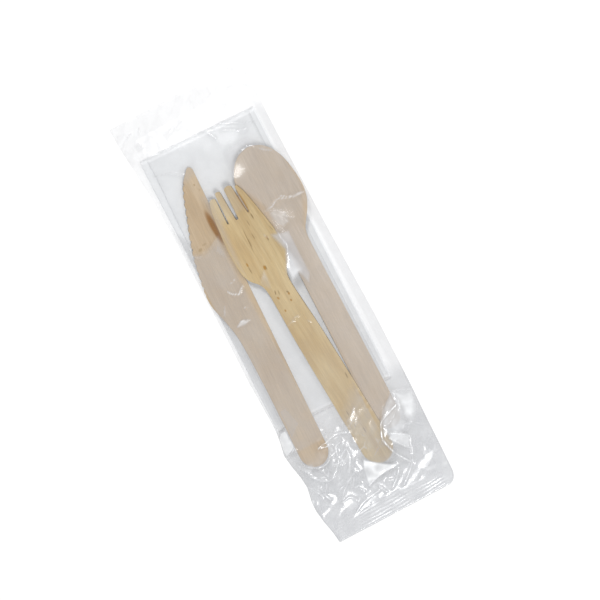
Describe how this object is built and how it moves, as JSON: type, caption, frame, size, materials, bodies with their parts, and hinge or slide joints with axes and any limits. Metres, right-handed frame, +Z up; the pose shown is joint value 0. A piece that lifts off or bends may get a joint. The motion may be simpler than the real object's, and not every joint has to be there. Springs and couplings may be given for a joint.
{
  "type": "wrapped cutlery pack",
  "caption": "Clear plastic film flow-wrap lying flat, sealed at both ends, holding a wooden knife, fork and spoon on a folded white paper napkin.",
  "frame": {"origin": "middle of the pack's underside, where the film rests on a surface", "axes": "+X across the pack from the knife to the spoon, +Y along the pack towards the heads of the cutlery, +Z up through the pack"},
  "size_m": [0.076, 0.241, 0.0168],
  "materials": {
    "clear_film": "thin clear wrapping film, glossy, wrinkled and slightly hazy",
    "tissue_paper": "soft white tissue paper, folded in layers, matt",
    "birch_knife": "unfinished birch veneer, light brown, sanded, with fine grain",
    "birch_fork": "unfinished birch veneer, yellower, with dark grain streaks and small knots",
    "birch_spoon": "unfinished birch veneer, pinkish beige, sanded, with fine grain"
  },
  "bodies": {
    "root": {"film_pouch": "clear_film", "napkin": "tissue_paper", "knife": "birch_knife", "fork": "birch_fork", "spoon": "birch_spoon"}
  },
  "joints": []
}
